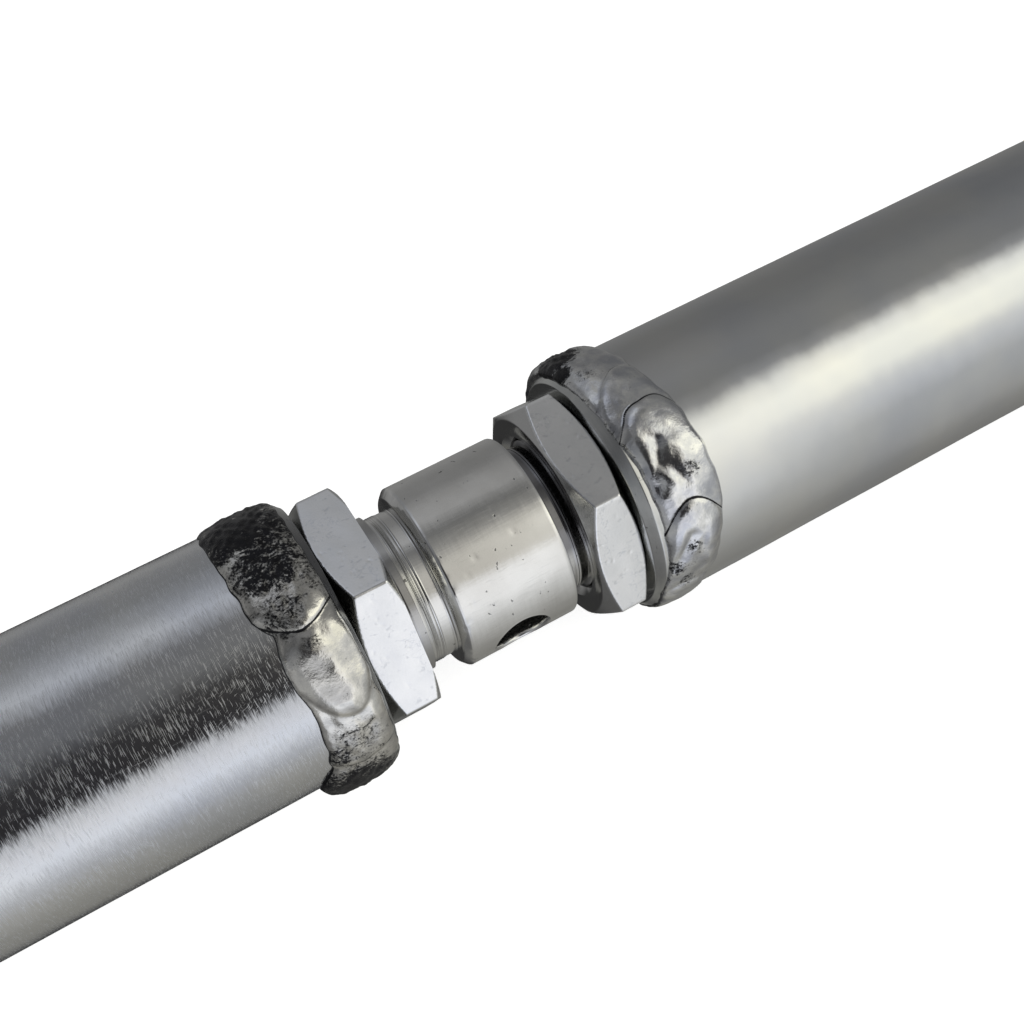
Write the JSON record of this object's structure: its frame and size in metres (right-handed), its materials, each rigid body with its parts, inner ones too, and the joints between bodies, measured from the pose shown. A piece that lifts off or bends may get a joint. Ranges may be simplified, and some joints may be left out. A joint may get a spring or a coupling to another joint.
{
  "type": "adjustable link bar",
  "caption": "Link bar whose two welded tube halves are joined by a threaded adjuster with jam nuts, and carry a bushed eye at each end.",
  "frame": {"origin": "middle of the whole bar, on its axis, with the adjuster screwed in as drawn", "axes": "+X runs along the bar to the right-hand eye, +Z along the bolt bores of both eyes, +Y across the bar"},
  "size_m": [0.404, 0.044, 0.046],
  "materials": {
    "tube_zinc": "bright zinc plated tube, satin with long fine scratches",
    "boss_zinc": "turned and zinc plated",
    "weld": "lumpy weld bead, plated over, with sooty marks",
    "eye_zinc": "bright zinc plated, satin",
    "rubber": "matt black moulded rubber",
    "sleeve_zinc": "turned and zinc plated",
    "nut_zinc": "zinc plated, fine grained with small dents",
    "turned_zinc": "turned and zinc plated, with fine turning rings"
  },
  "bodies": {
    "left_half": {"left_tube": "tube_zinc", "left_boss": "boss_zinc", "left_weld": "weld", "left_eye": "eye_zinc", "left_eye_weld": "weld", "left_bush_upper": "rubber", "left_bush_lower": "rubber"},
    "left_sleeve": {"left_sleeve": "sleeve_zinc"},
    "left_jam_nut": {"left_jam_nut": "nut_zinc"},
    "adjuster": {"adjuster": "turned_zinc"},
    "right_jam_nut": {"right_jam_nut": "nut_zinc"},
    "right_half": {"right_tube": "tube_zinc", "right_boss": "boss_zinc", "right_weld": "weld", "right_eye": "eye_zinc", "right_eye_weld": "weld", "right_bush_upper": "rubber", "right_bush_lower": "rubber"},
    "right_sleeve": {"right_sleeve": "sleeve_zinc"}
  },
  "joints": [
    {"name": "left_nut_travel", "type": "slide", "parent": "left_half", "child": "left_jam_nut", "axis": [1, 0, 0], "range_m": [0, 0.009]},
    {"name": "adjuster_turn", "type": "hinge", "parent": "left_jam_nut", "child": "adjuster", "pos_m": [0.0012, 0, 0], "axis": [1, 0, 0], "range_deg": [0, 2160]},
    {"name": "right_half_travel", "type": "slide", "parent": "left_half", "child": "right_half", "axis": [1, 0, 0], "range_m": [0, 0.018]},
    {"name": "right_nut_back_off", "type": "slide", "parent": "adjuster", "child": "right_jam_nut", "axis": [-1, 0, 0], "range_m": [0, 0.002]},
    {"name": "left_sleeve_turn", "type": "hinge", "parent": "left_half", "child": "left_sleeve", "pos_m": [-0.18, 0, 0], "axis": [0, 0, 1], "continuous": true},
    {"name": "right_sleeve_turn", "type": "hinge", "parent": "right_half", "child": "right_sleeve", "pos_m": [0.18, 0, 0], "axis": [0, 0, 1], "continuous": true}
  ],
  "couplings": [
    {"joint": "adjuster_turn", "follows": "right_half_travel", "rad_per_m": 2094.4},
    {"joint": "left_nut_travel", "follows": "right_half_travel", "ratio": 0.5}
  ]
}
